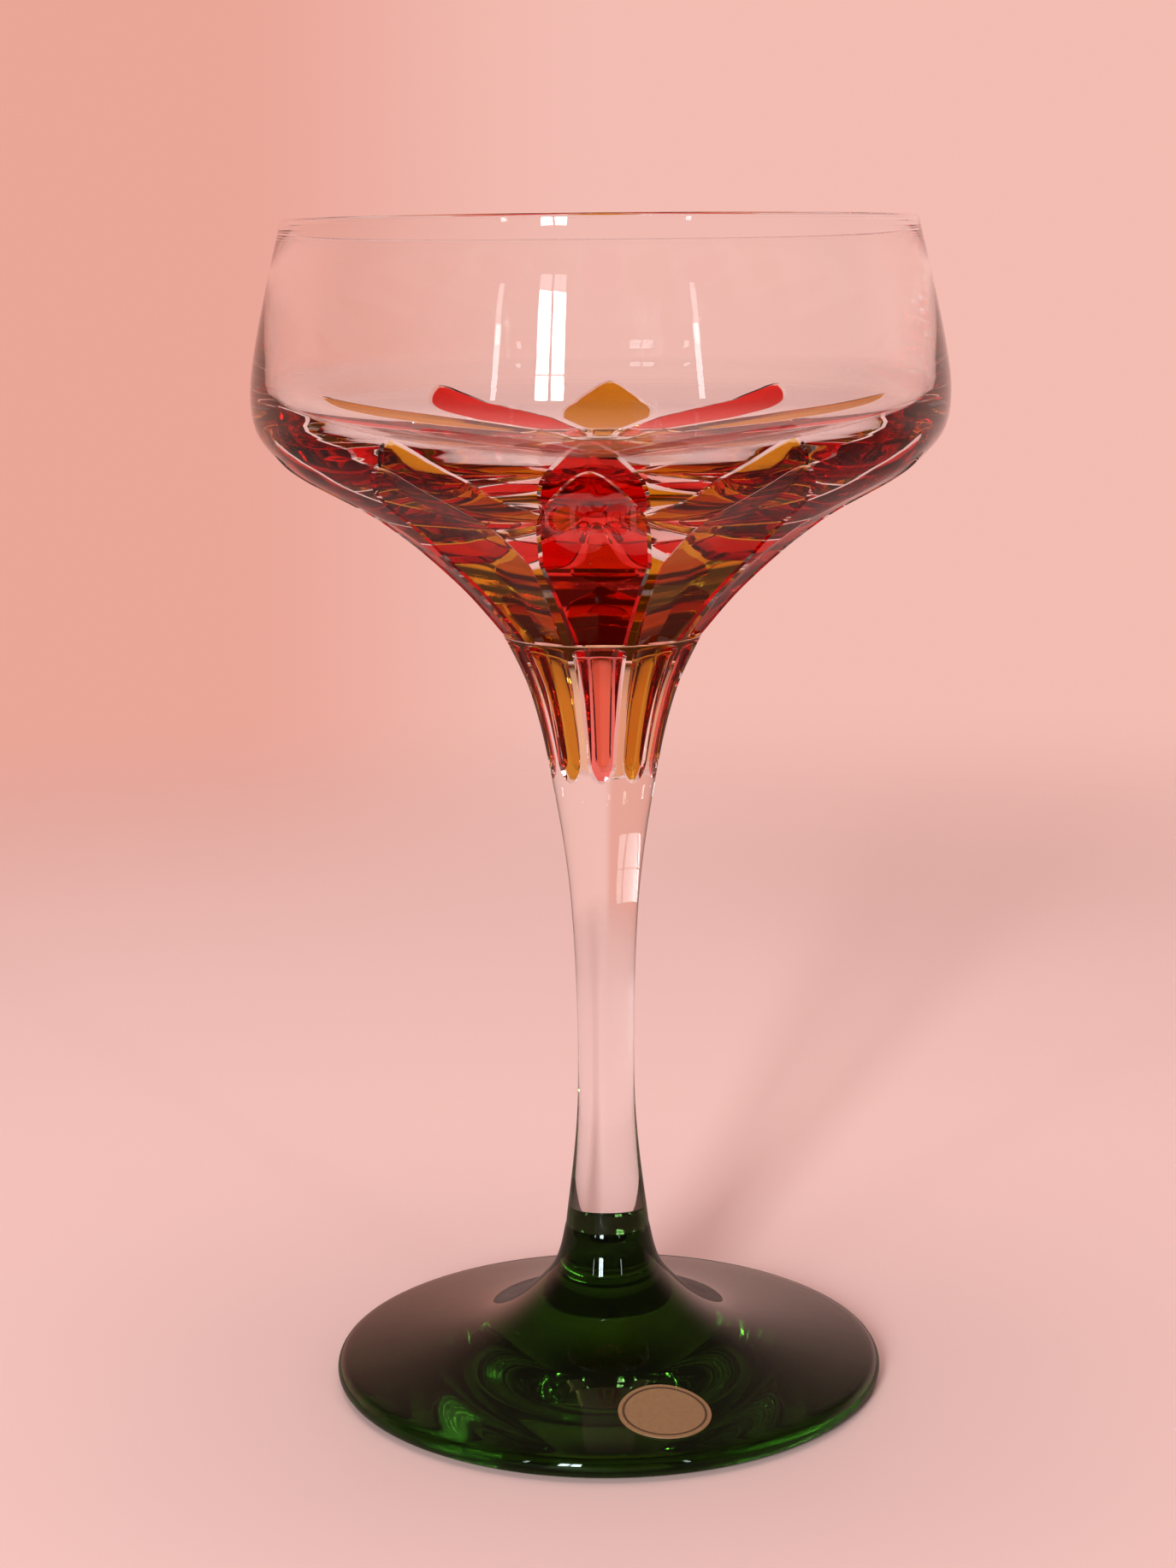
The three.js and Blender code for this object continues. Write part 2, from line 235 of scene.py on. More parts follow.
def petal_rows():
    """Radius, height and half width of the rows of a petal, from its foot to its tip."""
    foot = SHOULDER + PETAL_FOOT_MARGIN
    tip = SHOULDER + PETAL_TIP_RISE
    tip_radius = radius_at(BOWL_OUTSIDE, tip)
    high = height_at(CALYX_OUTSIDE, tip_radius - PETAL_ARCH * eased(2 * ROUND_STEPS)[::-1])
    heights = np.concatenate([np.linspace(foot, high[0], 3 * ROUND_STEPS)[:-1], high])
    heights[-1] = tip
    radii = radius_at(BOWL_OUTSIDE, heights)
    arch = PETAL_HALF_WIDTH * rounded(tip_radius - radii, PETAL_ARCH, PETAL_ARCH_POWER)
    sides = radii * math.sin(HALF_COLUMN) - PETAL_RIDGE / 2
    return radii, heights, np.minimum(arch, sides)


def flute_rows():
    """Radius, height and half width of the rows of a flute, from its top to its lower end."""
    top = SHOULDER - SHOULDER_EDGE - FLUTE_TOP_MARGIN
    end = top - FLUTE_LENGTH
    high = top - FLUTE_TOP_ROUND * eased(ROUND_STEPS)
    low = end + FLUTE_END_ROUND * eased(ROUND_STEPS)[::-1]
    middle = np.linspace(high[-1], low[0], 2 * ROUND_STEPS)[1:-1]
    heights = np.concatenate([high, middle, low])
    radii = radius_at(STEM_OUTSIDE, heights)
    sides = radii * math.sin(HALF_COLUMN) - FLUTE_RIDGE / 2
    ends = rounded(top - heights, FLUTE_TOP_ROUND) * rounded(heights - end, FLUTE_END_ROUND)
    return radii, heights, sides * ends


def petal_rise(across):
    """How far the face of a petal rises at a distance from its crease."""
    return across * PETAL_CREASE


def flute_rise(across):
    """How far the hollow face of a flute rises at a distance from its middle."""
    return across**2 / (2 * FLUTE_HOLLOW_RADIUS)


# Mesh building

def add_grid(mesh, points, materials, edge_material=None):
    """A grid of faces through rows of points in millimetres, with a material for each gap between rows.

    The first and last faces of every row can have a material of their own."""
    rows = [[mesh.verts.new(place) for place in row] for row in np.asarray(points) * MM]
    last = len(rows[0]) - 2
    for row, material in enumerate(materials):
        lower, upper = rows[row], rows[row + 1]
        for place in range(last + 1):
            face = mesh.faces.new((lower[place], lower[place + 1], upper[place + 1], upper[place]))
            face.material_index = material
            if edge_material is not None and place in (0, last):
                face.material_index = edge_material


def add_skin(mesh, radii, heights, halves, materials):
    """A turned skin from rows of radii and heights, left open where the columns' cuts are."""
    radii, heights, halves = (np.asarray(values, float) for values in (radii, heights, halves))
    cut = np.arcsin(halves / np.maximum(radii, WELD))
    share = np.linspace(0, 1, STRIP_STEPS + 1)
    for column in range(COLUMNS):
        start = FRONT + 2 * HALF_COLUMN * column + cut[:, None]
        angles = start + (2 * HALF_COLUMN - 2 * cut[:, None]) * share
        points = np.stack([
            radii[:, None] * np.cos(angles),
            radii[:, None] * np.sin(angles),
            np.repeat(heights[:, None], STRIP_STEPS + 1, 1),
        ], -1)
        add_grid(mesh, points, materials)


def add_cut(mesh, rows, rise, column, sink, material, edge_material=None):
    """The face of one column's cut, sunk between its edges by a depth, with a strip along each side."""
    radii, heights, halves = rows
    inner = np.maximum(halves - CUT_EDGE, halves / 2)[:, None] * np.linspace(-1, 1, FACET_STEPS - 1)
    across = np.concatenate([-halves[:, None], inner, halves[:, None]], 1)
    side = across / np.maximum(halves, WELD)[:, None]
    edge = np.sqrt(radii**2 - halves**2)
    depth = sink * np.minimum(halves / sink / 2, 1) if sink else 0 * halves
    out = (edge - rise(halves))[:, None] + rise(np.abs(across)) - depth[:, None] * (1 - side**2)
    out[:, 1:-1] -= np.minimum(CUT_EDGE_STEP, halves / 8)[:, None]
    angle = FRONT + 2 * HALF_COLUMN * column
    points = np.stack([
        out * math.cos(angle) - across * math.sin(angle),
        out * math.sin(angle) + across * math.cos(angle),
        np.repeat(heights[:, None], FACET_STEPS + 1, 1),
    ], -1)
    add_grid(mesh, points, [material] * (len(radii) - 1), edge_material)


def finish_mesh(name, mesh, materials, sharp_angle):
    """Welds a mesh, points its faces out, marks its sharp edges and makes the piece."""
    bmesh.ops.remove_doubles(mesh, verts=mesh.verts, dist=WELD)
    bmesh.ops.dissolve_degenerate(mesh, edges=mesh.edges, dist=WELD)
    bmesh.ops.recalc_face_normals(mesh, faces=mesh.faces)
    for face in mesh.faces:
        face.smooth = True
    for edge in mesh.edges:
        if len(edge.link_faces) == 2:
            one, other = edge.link_faces
            same = one.material_index == other.material_index
            edge.smooth = same and edge.calc_face_angle() < sharp_angle
    data = bpy.data.meshes.new(name)
    mesh.to_mesh(data)
    mesh.free()
    for material in materials:
        data.materials.append(material)
    piece = bpy.data.objects.new(name, data)
    bpy.context.scene.collection.objects.link(piece)
    return piece


def stand_for(piece, node):
    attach(piece, BODY)
    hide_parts(node)


# Materials

# Glass: how strongly it bends and mirrors light, and its marks of use
GLASS_BEND = 1.53
SHEEN = 0.35
FULL_SHEEN = 1.0
MARK_SCALE = 900.0
MARK_DETAIL = 6.0
MARK_DISTORTION = 1.5
MARK_RANGE = (0.45, 0.75)
GLOSS = (0.0, 0.03)

# Ripple of the polished glass: how fine it is, and its height in metres
RIPPLE_DETAIL = 1.0
BOWL_RIPPLE = (60.0, 0.00002)
STEM_RIPPLE = (90.0, 0.00002)
FOOT_RIPPLE = (60.0, 0.00004)
CUT_RIPPLE = (120.0, 0.00003)

# Stains: their streaks, their colours where they are full and thin, and the tints behind them
STREAK_STRETCH = (1.0, 1.0, 0.25)
STREAK_SCALE = 260.0
STREAK_DETAIL = 4.0
STREAK_RANGE = (0.35, 0.8)
RUBY = ((0.94, 0.46, 0.42), (0.96, 0.52, 0.48))
AMBER = ((0.80, 0.56, 0.12), (0.86, 0.64, 0.17))
GREEN = ((0.009, 0.040, 0.002), (0.015, 0.058, 0.004))
RUBY_BODY = (0.83, 0.058, 0.046)
AMBER_BODY = (0.76, 0.42, 0.04)
NECK_RUBY = ((0.97, 0.80, 0.78), (0.98, 0.84, 0.82))
NECK_AMBER = ((0.94, 0.84, 0.60), (0.96, 0.88, 0.66))
NECK_RUBY_BODY = (0.95, 0.30, 0.28)
NECK_AMBER_BODY = (0.72, 0.42, 0.06)
NECK_RUBY_FAR = (0.97, 0.72, 0.70)
NECK_AMBER_FAR = (0.96, 0.86, 0.70)
CLEAR = (1.0, 1.0, 1.0)

# Paper of the label
FIBRE_SCALE = 1500.0
FIBRE_DETAIL = 8.0
FIBRE_HEIGHT = 0.00002
PAPER_COLOURS = ((0.23, 0.098, 0.042), (0.33, 0.155, 0.072))
PAPER_ROUGHNESS = 0.55
LABEL_LINE_COLOUR = (0.085, 0.034, 0.016)


def new_material(name):
    material = bpy.data.materials.new(name)
    material.use_nodes = True
    return material, material.node_tree.nodes, material.node_tree.links


def polished_surface():
    """A node group: the faint ripple of fire polished glass, and the fine marks of use in its gloss."""
    group = bpy.data.node_groups.new("polished_surface", "ShaderNodeTree")
    for name in ("Ripple Scale", "Mark Scale", "Gloss Low", "Gloss High"):
        group.interface.new_socket(name, in_out="INPUT", socket_type="NodeSocketFloat")
    for name in ("Ripple", "Roughness"):
        group.interface.new_socket(name, in_out="OUTPUT", socket_type="NodeSocketFloat")
    nodes, links = group.nodes, group.links
    values = nodes.new("NodeGroupInput")
    result = nodes.new("NodeGroupOutput")
    place = nodes.new("ShaderNodeTexCoord")
    ripple = nodes.new("ShaderNodeTexNoise")
    ripple.inputs["Detail"].default_value = RIPPLE_DETAIL
    links.new(place.outputs["Object"], ripple.inputs["Vector"])
    links.new(values.outputs["Ripple Scale"], ripple.inputs["Scale"])
    links.new(ripple.outputs["Fac"], result.inputs["Ripple"])
    marks = nodes.new("ShaderNodeTexNoise")
    marks.inputs["Detail"].default_value = MARK_DETAIL
    marks.inputs["Distortion"].default_value = MARK_DISTORTION
    links.new(place.outputs["Object"], marks.inputs["Vector"])
    links.new(values.outputs["Mark Scale"], marks.inputs["Scale"])
    gloss = nodes.new("ShaderNodeMapRange")
    gloss.inputs["From Min"].default_value = MARK_RANGE[0]
    gloss.inputs["From Max"].default_value = MARK_RANGE[1]
    links.new(marks.outputs["Fac"], gloss.inputs["Value"])
    links.new(values.outputs["Gloss Low"], gloss.inputs["To Min"])
    links.new(values.outputs["Gloss High"], gloss.inputs["To Max"])
    links.new(gloss.outputs["Result"], result.inputs["Roughness"])
    return group


def fired_stain():
    """A node group: a stain brushed on and fired, in streaks down the glass from full to thin."""
    group = bpy.data.node_groups.new("fired_stain", "ShaderNodeTree")
    for name in ("Full", "Thin"):
        group.interface.new_socket(name, in_out="INPUT", socket_type="NodeSocketColor")
    group.interface.new_socket("Colour", in_out="OUTPUT", socket_type="NodeSocketColor")
    nodes, links = group.nodes, group.links
    values = nodes.new("NodeGroupInput")
    result = nodes.new("NodeGroupOutput")
    place = nodes.new("ShaderNodeTexCoord")
    stretch = nodes.new("ShaderNodeMapping")
    stretch.inputs["Scale"].default_value = STREAK_STRETCH
    links.new(place.outputs["Object"], stretch.inputs["Vector"])
    streaks = nodes.new("ShaderNodeTexNoise")
    streaks.inputs["Scale"].default_value = STREAK_SCALE
    streaks.inputs["Detail"].default_value = STREAK_DETAIL
    links.new(stretch.outputs["Vector"], streaks.inputs["Vector"])
    thinness = nodes.new("ShaderNodeMapRange")
    thinness.inputs["From Min"].default_value = STREAK_RANGE[0]
    thinness.inputs["From Max"].default_value = STREAK_RANGE[1]
    links.new(streaks.outputs["Fac"], thinness.inputs["Value"])
    blend = nodes.new("ShaderNodeMix")
    blend.data_type = "RGBA"
    links.new(thinness.outputs["Result"], blend.inputs["Factor"])
    links.new(values.outputs["Full"], blend.inputs["A"])
    links.new(values.outputs["Thin"], blend.inputs["B"])
    links.new(blend.outputs["Result"], result.inputs["Colour"])
    return group


POLISHED_SURFACE = polished_surface()
FIRED_STAIN = fired_stain()


def glass(name, ripple, stain=None, sheen=SHEEN):
    """Polished crystal. A stain gives the colours where it is full and where it is thin."""
    material, nodes, links = new_material(name)
    shader = nodes["Principled BSDF"]
    shader.inputs["Base Color"].default_value = (*CLEAR, 1.0)
    shader.inputs["Transmission Weight"].default_value = 1.0
    shader.inputs["IOR"].default_value = GLASS_BEND
    shader.inputs["Specular Tint"].default_value = (sheen, sheen, sheen, 1.0)
    surface = nodes.new("ShaderNodeGroup")
    surface.node_tree = POLISHED_SURFACE
    surface.inputs["Ripple Scale"].default_value = ripple[0]
    surface.inputs["Mark Scale"].default_value = MARK_SCALE
    surface.inputs["Gloss Low"].default_value = GLOSS[0]
    surface.inputs["Gloss High"].default_value = GLOSS[1]
    links.new(surface.outputs["Roughness"], shader.inputs["Roughness"])
    bump = nodes.new("ShaderNodeBump")
    bump.inputs["Distance"].default_value = ripple[1]
    links.new(surface.outputs["Ripple"], bump.inputs["Height"])
    links.new(bump.outputs["Normal"], shader.inputs["Normal"])
    if stain:
        colour = nodes.new("ShaderNodeGroup")
        colour.node_tree = FIRED_STAIN
        colour.inputs["Full"].default_value = (*stain[0], 1.0)
        colour.inputs["Thin"].default_value = (*stain[1], 1.0)
        links.new(colour.outputs["Colour"], shader.inputs["Base Color"])
    return material


def see_through(name, colour, far_colour=None):
    """A face inside fused glass, which bends no light: it only takes its colour from what passes.

    A far colour takes its place where a sight line reaches the face from inside the coupe."""
    material, nodes, links = new_material(name)
    nodes.remove(nodes["Principled BSDF"])
    shader = nodes.new("ShaderNodeBsdfTransparent")
    shader.inputs["Color"].default_value = (*colour, 1.0)
    links.new(shader.outputs["BSDF"], nodes["Material Output"].inputs["Surface"])
    if far_colour:
        side = nodes.new("ShaderNodeNewGeometry")
        tint = nodes.new("ShaderNodeMix")
        tint.data_type = "RGBA"
        tint.inputs["A"].default_value = (*far_colour, 1.0)
        tint.inputs["B"].default_value = (*colour, 1.0)
        links.new(side.outputs["Backfacing"], tint.inputs["Factor"])
        links.new(tint.outputs["Result"], shader.inputs["Color"])
    return material


def label_paper():
    """Matt copper brown paper with fibres and a thin darker line near its edge."""
    material, nodes, links = new_material("label_paper")
    shader = nodes["Principled BSDF"]
    place = nodes.new("ShaderNodeTexCoord")
    fibres = nodes.new("ShaderNodeTexNoise")
    fibres.inputs["Scale"].default_value = FIBRE_SCALE
    fibres.inputs["Detail"].default_value = FIBRE_DETAIL
    links.new(place.outputs["Object"], fibres.inputs["Vector"])
    paper = nodes.new("ShaderNodeMix")
    paper.data_type = "RGBA"
    paper.inputs["A"].default_value = (*PAPER_COLOURS[0], 1.0)
    paper.inputs["B"].default_value = (*PAPER_COLOURS[1], 1.0)
    links.new(fibres.outputs["Fac"], paper.inputs["Factor"])
    flat = nodes.new("ShaderNodeVectorMath")
    flat.operation = "MULTIPLY"
    flat.inputs[1].default_value = (1.0, 1.0, 0.0)
    links.new(place.outputs["Object"], flat.inputs[0])
    reach = nodes.new("ShaderNodeVectorMath")
    reach.operation = "DISTANCE"
    reach.inputs[1].default_value = (
        LABEL_CENTRE * math.sin(LABEL_TURN) * MM, -LABEL_CENTRE * math.cos(LABEL_TURN) * MM, 0.0,
    )
    links.new(flat.outputs["Vector"], reach.inputs[0])
    line = nodes.new("ShaderNodeMath")
    line.operation = "COMPARE"
    line.inputs[1].default_value = LABEL_LINE_RADIUS * MM
    line.inputs[2].default_value = LABEL_LINE_WIDTH / 2 * MM
    links.new(reach.outputs["Value"], line.inputs[0])
    printed = nodes.new("ShaderNodeMix")
    printed.data_type = "RGBA"
    printed.inputs["B"].default_value = (*LABEL_LINE_COLOUR, 1.0)
    links.new(line.outputs["Value"], printed.inputs["Factor"])
    links.new(paper.outputs["Result"], printed.inputs["A"])
    links.new(printed.outputs["Result"], shader.inputs["Base Color"])
    shader.inputs["Roughness"].default_value = PAPER_ROUGHNESS
    bump = nodes.new("ShaderNodeBump")
    bump.inputs["Distance"].default_value = FIBRE_HEIGHT
    links.new(fibres.outputs["Fac"], bump.inputs["Height"])
    links.new(bump.outputs["Normal"], shader.inputs["Normal"])
    return material


CRYSTAL_BOWL = glass("clear_crystal_bowl", BOWL_RIPPLE)
CRYSTAL_STEM = glass("clear_crystal_stem", STEM_RIPPLE)
CUT_EDGE_GLASS = glass("clear_crystal_cut_edge", CUT_RIPPLE, sheen=FULL_SHEEN)
CRYSTAL_UNDER = glass("clear_crystal_under_foot", FOOT_RIPPLE)
GREEN_GLASS = glass("green_glass", FOOT_RIPPLE, GREEN)
RUBY_FACE = glass("ruby_stain_face", CUT_RIPPLE, RUBY)
AMBER_FACE = glass("amber_stain_face", CUT_RIPPLE, AMBER)
RUBY_DEPTH = see_through("ruby_stain_depth", RUBY_BODY)
AMBER_DEPTH = see_through("amber_stain_depth", AMBER_BODY)
NECK_RUBY_FACE = glass("neck_ruby_stain_face", CUT_RIPPLE, NECK_RUBY)
NECK_AMBER_FACE = glass("neck_amber_stain_face", CUT_RIPPLE, NECK_AMBER)
NECK_RUBY_DEPTH = see_through("neck_ruby_stain_depth", NECK_RUBY_BODY, NECK_RUBY_FAR)
NECK_AMBER_DEPTH = see_through("neck_amber_stain_depth", NECK_AMBER_BODY, NECK_AMBER_FAR)
FUSED = see_through("fused_joint", CLEAR)
PETAL_STAINS = (RUBY_FACE, RUBY_DEPTH), (AMBER_FACE, AMBER_DEPTH)
NECK_STAINS = (NECK_RUBY_FACE, NECK_RUBY_DEPTH), (NECK_AMBER_FACE, NECK_AMBER_DEPTH)
LABEL_PAPER = label_paper()


# Pieces

def make_bowl():
    """The cup and its thick calyx, with ten leaf cuts that the petals fill."""
    skin, joint = range(2)
    mesh = bmesh.new()
    leaf = petal_rows()
    lip = RIM_WALL / 2
    outside = np.linspace(leaf[1][-1], RIM - lip, 4 * ROUND_STEPS)[1:]
    turn = np.linspace(0, math.pi, 2 * ROUND_STEPS)[1:-1]
    inside = cup_inside()[::-CUP_SKIP]
    below = [0, SHOULDER_RADIUS]
    radii = np.concatenate([
        below, leaf[0], radius_at(BOWL_OUTSIDE, outside),
        RIM_RADIUS - lip + lip * np.cos(turn), inside[:, 0], [0],
    ])
    heights = np.concatenate([
        [SHOULDER, SHOULDER], leaf[1], outside,
        RIM - lip + lip * np.sin(turn), inside[:, 1], [SHOULDER + CALYX_THICKNESS],
    ])
    halves = np.zeros(len(radii))
    halves[len(below):len(below) + len(leaf[2])] = leaf[2]
    add_skin(mesh, radii, heights, halves, [joint] + [skin] * (len(radii) - 2))
    for column in range(COLUMNS):
        add_cut(mesh, leaf, petal_rise, column, SEAT_DEPTH, joint)
    bowl = finish_mesh("bowl_glass", mesh, [CRYSTAL_BOWL, FUSED], SHARP_EDGE)
    stand_for(bowl, "bowl")


def make_stem():
    """The drawn stem with its fluted neck."""
    skin, joint = range(2)
    mesh = bmesh.new()
    flute = flute_rows()
    shaft = np.linspace(flute[1][-1], FOOT_JOINT, 8 * ROUND_STEPS)[1:]
    above = [0, SHOULDER_RADIUS, SHOULDER_RADIUS]
    radii = np.concatenate([above, flute[0], radius_at(STEM_OUTSIDE, shaft), [0]])
    heights = np.concatenate([
        [SHOULDER, SHOULDER, SHOULDER - SHOULDER_EDGE], flute[1], shaft, [FOOT_JOINT],
    ])
    halves = np.zeros(len(radii))
    halves[len(above):len(above) + len(flute[2])] = flute[2]
    add_skin(mesh, radii, heights, halves, [joint] + [skin] * (len(radii) - 3) + [joint])
    for column in range(COLUMNS):
        add_cut(mesh, flute, flute_rise, column, SEAT_DEPTH, joint)
    stem = finish_mesh("stem_glass", mesh, [CRYSTAL_STEM, FUSED], SHARP_EDGE)
    stand_for(stem, "stem")


def make_foot():
    """The round foot, stained green over its upper side and edge."""
    top_side, under_side, joint = range(3)
    mesh = bmesh.new()
    turn = np.linspace(math.pi / 2, -math.pi / 2, 2 * ROUND_STEPS)[1:]
    edge = FOOT_RADIUS - FOOT_EDGE_RADIUS
    top = FOOT_TOP[::FOOT_SKIP]
    radii = np.concatenate([[0], top[:, 0], edge + FOOT_EDGE_RADIUS * np.cos(turn), [0]])
    heights = np.concatenate([[FOOT_JOINT], top[:, 1], FOOT_EDGE_RADIUS * (1 + np.sin(turn)), [0]])
    add_skin(mesh, radii, heights, 0 * radii, [joint] + [top_side] * (len(radii) - 3) + [under_side])
    foot = finish_mesh("foot_glass", mesh, [GREEN_GLASS, CRYSTAL_UNDER, FUSED], SHARP_EDGE)
    stand_for(foot, "foot")


def make_panels(kind, rows, rise, ruby, amber, sharp_angle):
    """One stained panel in every column, ruby in front and amber next to it."""
    face, depth, edge, edge_back = range(4)
    for column in range(COLUMNS):
        stain = "amber" if column % 2 else "ruby"
        number = column // 2 + 1
        mesh = bmesh.new()
        add_cut(mesh, rows, rise, column, 0, face, edge)
        add_cut(mesh, rows, rise, column, STAIN_DEPTH, depth, edge_back)
        materials = [*(amber if column % 2 else ruby), CUT_EDGE_GLASS, FUSED]
        panel = finish_mesh(f"{kind}_{stain}_{number}_glass", mesh, materials, sharp_angle)
        stand_for(panel, f"{kind}_{stain}_{number}")


def make_label():
    """A paper disc that follows the sloping top of the foot."""
    mesh = bmesh.new()
    rings = np.linspace(0, 1, 2 * ROUND_STEPS)
    turn = np.linspace(0, 2 * math.pi, 8 * ROUND_STEPS + 1)
    across = LABEL_RADIUS * rings[:, None] * np.cos(turn) + LABEL_CENTRE * math.sin(LABEL_TURN)
    along = LABEL_RADIUS * rings[:, None] * np.sin(turn) - LABEL_CENTRE * math.cos(LABEL_TURN)
    seat = height_at(FOOT_TOP, np.hypot(across, along)) + LABEL_GLUE
    upper = np.stack([across, along, seat + LABEL_THICKNESS], -1)
    lower = np.stack([across, along, seat], -1)
    points = np.concatenate([upper, lower[::-1]])
    add_grid(mesh, points, [0] * (len(points) - 1))
    label = finish_mesh("label_disc", mesh, [LABEL_PAPER], SHARP_EDGE)
    stand_for(label, "label")


# Studio

# Backdrop: its colours, and the directions between which one gives way to the next
WALL_COLOUR = (0.90, 0.505, 0.445)
ROOM_COLOUR = (0.10, 0.06, 0.055)
BACKDROP_SIDE = (0.0, 0.5)
BACKDROP_TOP = (0.65, 0.15)
LEFT_WALL_COLOUR = (0.82, 0.38, 0.31)
LEFT_WALL_FADE = (-0.17, -0.03)

# Floor, in metres, with the share of its colour that reflections show
FLOOR_COLOUR = (0.86, 0.52, 0.48)
FLOOR_MIRRORED = 0.3
FLOOR_ROUGHNESS = 0.6
FLOOR_SHINE = 0.2
FLOOR_RADIUS = 0.7
FLOOR_FADE = (0.22, 0.6)
FLOOR_DROP = 0.0003

# Lamps: places and sizes in metres, powers in watts
WINDOW_PANES = [(-0.335, -1.15), (-0.235, -1.17)]
PANE_HEIGHTS = (0.30, 0.545)
PANE_SIZE = (0.085, 0.23)
PANE_POWER = 5.0
SLIM_PANES = [(-0.57, -0.94), (0.60, -0.92)]
SLIM_HEIGHT = 0.36
SLIM_SIZE = (0.035, 0.36)
SLIM_POWER = 0.9
TOP_PLACE = (0.0, 0.1, 1.1)
TOP_SIZE = (1.1, 1.1)
TOP_POWER = 10.0
COUPE_MIDDLE = (0.0, 0.0, 0.12)
FLOOR_MIDDLE = (0.0, 0.0, 0.0)
COOL_LIGHT = (0.80, 0.97, 1.0)
WARM_LIGHT = (1.0, 0.97, 0.95)


def make_floor():
    """A pale round floor that fades into the backdrop and is dimmer where a reflection shows it."""
    mesh = bmesh.new()
    rings = np.linspace(0, FLOOR_RADIUS / MM, 2 * ROUND_STEPS)
    turn = np.linspace(0, 2 * math.pi, 8 * ROUND_STEPS + 1)
    points = np.stack([
        rings[:, None] * np.cos(turn),
        rings[:, None] * np.sin(turn),
        np.full((len(rings), len(turn)), -FLOOR_DROP / MM),
    ], -1)
    add_grid(mesh, points, [0] * (len(rings) - 1))
    material, nodes, links = new_material("pale_floor")
    shader = nodes["Principled BSDF"]
    shader.inputs["Roughness"].default_value = FLOOR_ROUGHNESS
    ray = nodes.new("ShaderNodeLightPath")
    colour = nodes.new("ShaderNodeMix")
    colour.data_type = "RGBA"
    colour.inputs["A"].default_value = (*FLOOR_COLOUR, 1.0)
    colour.inputs["B"].default_value = (*(FLOOR_MIRRORED * share for share in FLOOR_COLOUR), 1.0)
    links.new(ray.outputs["Is Reflection Ray"], colour.inputs["Factor"])
    links.new(colour.outputs["Result"], shader.inputs["Base Color"])
    shader.inputs["Specular IOR Level"].default_value = FLOOR_SHINE
    clear = nodes.new("ShaderNodeBsdfTransparent")
    place = nodes.new("ShaderNodeTexCoord")
    reach = nodes.new("ShaderNodeVectorMath")
    reach.operation = "LENGTH"
    links.new(place.outputs["Object"], reach.inputs[0])
    fade = nodes.new("ShaderNodeMapRange")
    fade.interpolation_type = "SMOOTHSTEP"
    fade.inputs["From Min"].default_value = FLOOR_FADE[0]
    fade.inputs["From Max"].default_value = FLOOR_FADE[1]
    links.new(reach.outputs["Value"], fade.inputs["Value"])
    blend = nodes.new("ShaderNodeMixShader")
    links.new(fade.outputs["Result"], blend.inputs["Fac"])
    links.new(shader.outputs["BSDF"], blend.inputs[1])
    links.new(clear.outputs["BSDF"], blend.inputs[2])
    links.new(blend.outputs["Shader"], nodes["Material Output"].inputs["Surface"])
    floor = finish_mesh("floor", mesh, [material], SHARP_EDGE)
    for face in floor.data.polygons:
        if face.normal.z < 0:
            face.flip()


def make_world():
    """A pale backdrop behind the coupe, a little darker on its left, in a dimmer room."""
    world = bpy.data.worlds.new("studio")
    bpy.context.scene.world = world
    world.use_nodes = True
    nodes, links = world.node_tree.nodes, world.node_tree.links
    place = nodes.new("ShaderNodeTexCoord")
    split = nodes.new("ShaderNodeSeparateXYZ")
    links.new(place.outputs["Generated"], split.inputs["Vector"])
    pale = nodes.new("ShaderNodeMath")
    pale.operation = "MULTIPLY"
    for number, (axis, (dim, bright)) in enumerate((("Y", BACKDROP_SIDE), ("Z", BACKDROP_TOP))):
        share = nodes.new("ShaderNodeMapRange")
        share.interpolation_type = "SMOOTHSTEP"
        share.inputs["From Min"].default_value = dim
        share.inputs["From Max"].default_value = bright
        links.new(split.outputs[axis], share.inputs["Value"])
        links.new(share.outputs["Result"], pale.inputs[number])
    right = nodes.new("ShaderNodeMapRange")
    right.interpolation_type = "SMOOTHSTEP"
    right.inputs["From Min"].default_value = LEFT_WALL_FADE[0]
    right.inputs["From Max"].default_value = LEFT_WALL_FADE[1]
    links.new(split.outputs["X"], right.inputs["Value"])
    wall = nodes.new("ShaderNodeMix")
    wall.data_type = "RGBA"
    wall.inputs["A"].default_value = (*LEFT_WALL_COLOUR, 1.0)
    wall.inputs["B"].default_value = (*WALL_COLOUR, 1.0)
    links.new(right.outputs["Result"], wall.inputs["Factor"])
    colour = nodes.new("ShaderNodeMix")
    colour.data_type = "RGBA"
    colour.inputs["A"].default_value = (*ROOM_COLOUR, 1.0)
    links.new(wall.outputs["Result"], colour.inputs["B"])
    links.new(pale.outputs["Value"], colour.inputs["Factor"])
    links.new(colour.outputs["Result"], nodes["Background"].inputs["Color"])


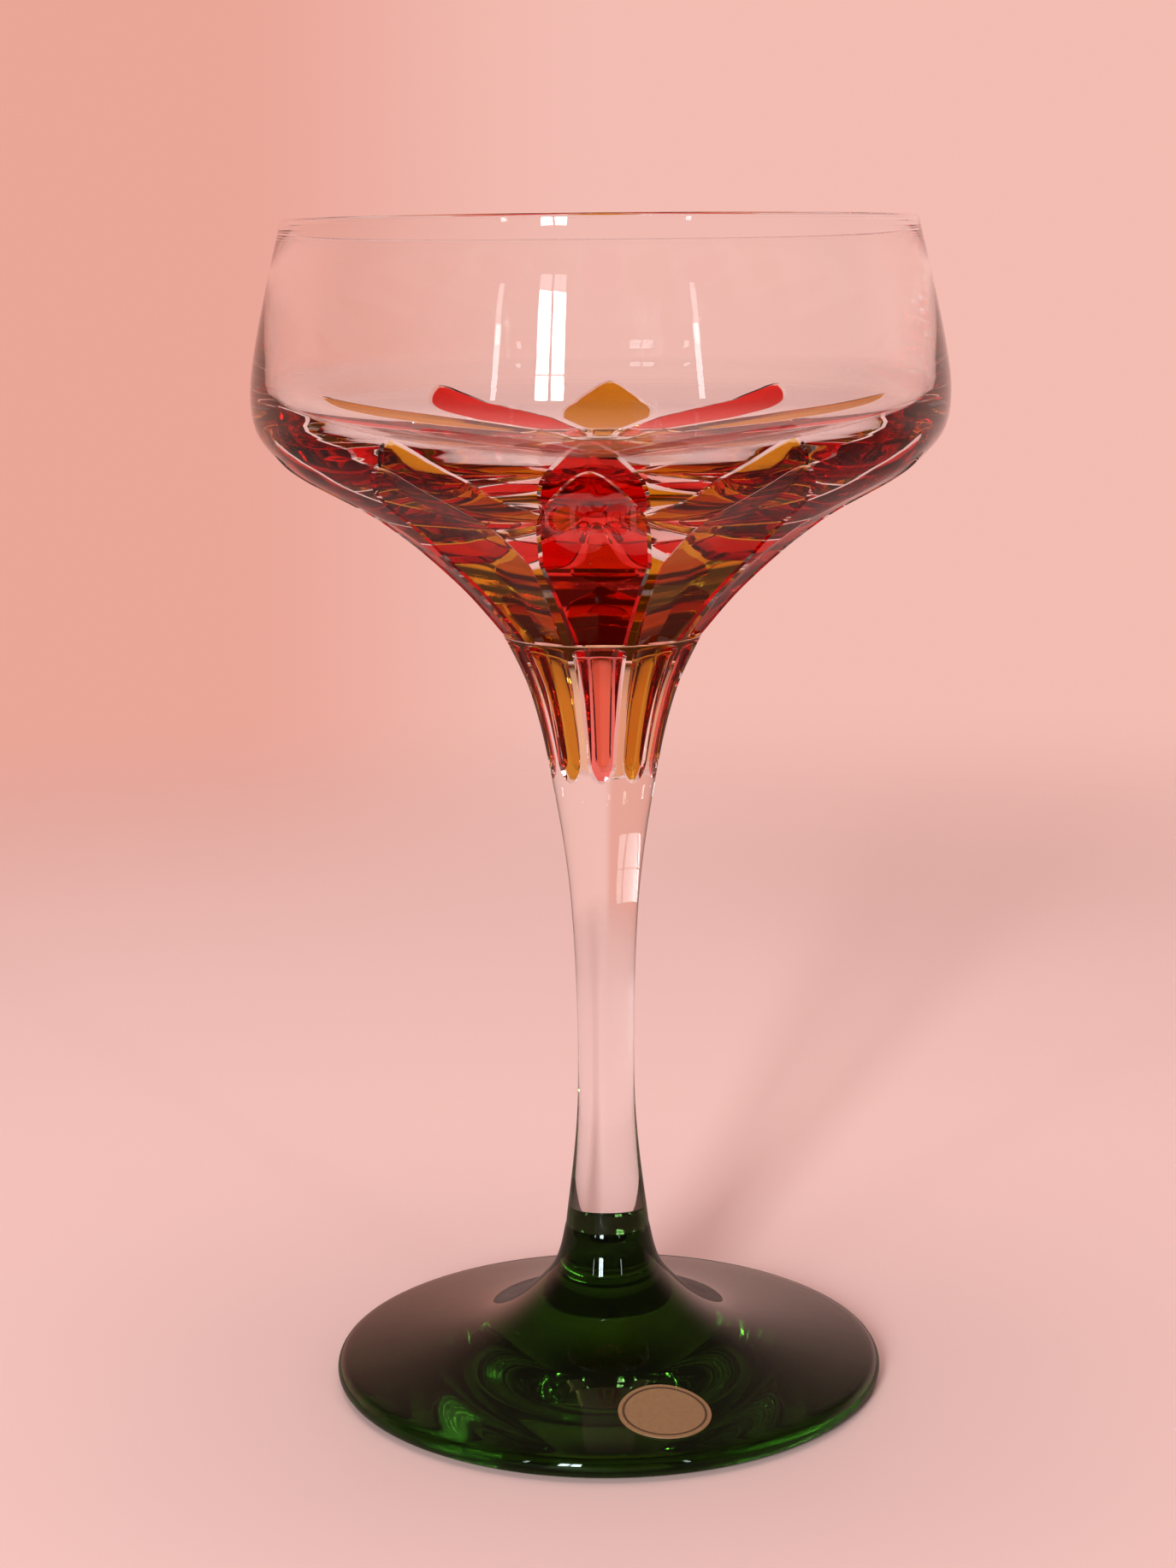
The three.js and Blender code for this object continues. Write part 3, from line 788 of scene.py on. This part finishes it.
def add_lamp(name, place, aim, size, power, colour):
    """A soft rectangular lamp at a place, facing the aim, that the camera does not see directly."""
    light = bpy.data.lights.new(name, "AREA")
    light.shape = "RECTANGLE"
    light.size, light.size_y = size
    light.energy = power
    light.color = colour
    lamp = bpy.data.objects.new(name, light)
    direction = np.subtract(aim, place)
    flat = math.hypot(direction[0], direction[1])
    tilt = math.atan2(flat, -direction[2])
    spin = math.atan2(-direction[0], direction[1])
    lamp.matrix_world = (
        Matrix.Translation(place) @ Matrix.Rotation(spin, 4, "Z") @ Matrix.Rotation(tilt, 4, "X")
    )
    lamp.visible_camera = False
    bpy.context.scene.collection.objects.link(lamp)
    return lamp


def make_lamps():
    """A window of four panes and two slim ones on the camera's side, and a soft lamp overhead."""
    for across, back in WINDOW_PANES:
        for height in PANE_HEIGHTS:
            place = (across, back, height)
            add_lamp("window_pane", place, COUPE_MIDDLE, PANE_SIZE, PANE_POWER, COOL_LIGHT)
    for across, back in SLIM_PANES:
        place = (across, back, SLIM_HEIGHT)
        add_lamp("slim_pane", place, COUPE_MIDDLE, SLIM_SIZE, SLIM_POWER, COOL_LIGHT)
    top = add_lamp("soft_top", TOP_PLACE, FLOOR_MIDDLE, TOP_SIZE, TOP_POWER, WARM_LIGHT)
    top.visible_glossy = False
    top.visible_transmission = False


def make_camera():
    data = bpy.data.cameras.new("camera")
    data.sensor_width = SENSOR
    data.lens = SENSOR * FOCAL_PIXELS / IMAGE_HEIGHT
    data.shift_y = CAMERA_SHIFT
    data.clip_start = CAMERA_NEAR
    camera = bpy.data.objects.new("camera", data)
    tilt = Matrix.Rotation(math.radians(90 - CAMERA_PITCH), 4, "X")
    roll = Matrix.Rotation(math.radians(CAMERA_ROLL), 4, "Z")
    turn = Matrix.Rotation(math.radians(CAMERA_TURN), 4, "Z")
    camera.matrix_world = turn @ Matrix.Translation(CAMERA_PLACE) @ tilt @ roll
    bpy.context.scene.collection.objects.link(camera)
    bpy.context.scene.camera = camera


make_bowl()
make_stem()
make_foot()
make_panels("petal", petal_rows(), petal_rise, *PETAL_STAINS, PETAL_SHARP_EDGE)
make_panels("flute", flute_rows(), flute_rise, *NECK_STAINS, SHARP_EDGE)
make_label()
make_floor()
make_world()
make_lamps()
make_camera()

scene = bpy.context.scene
scene.view_settings.view_transform = "Standard"

# Light crosses many faces on its way through the calyx and the neck.
scene.cycles.max_bounces = 40
scene.cycles.transmission_bounces = 40
scene.cycles.glossy_bounces = 32
scene.cycles.transparent_max_bounces = 64
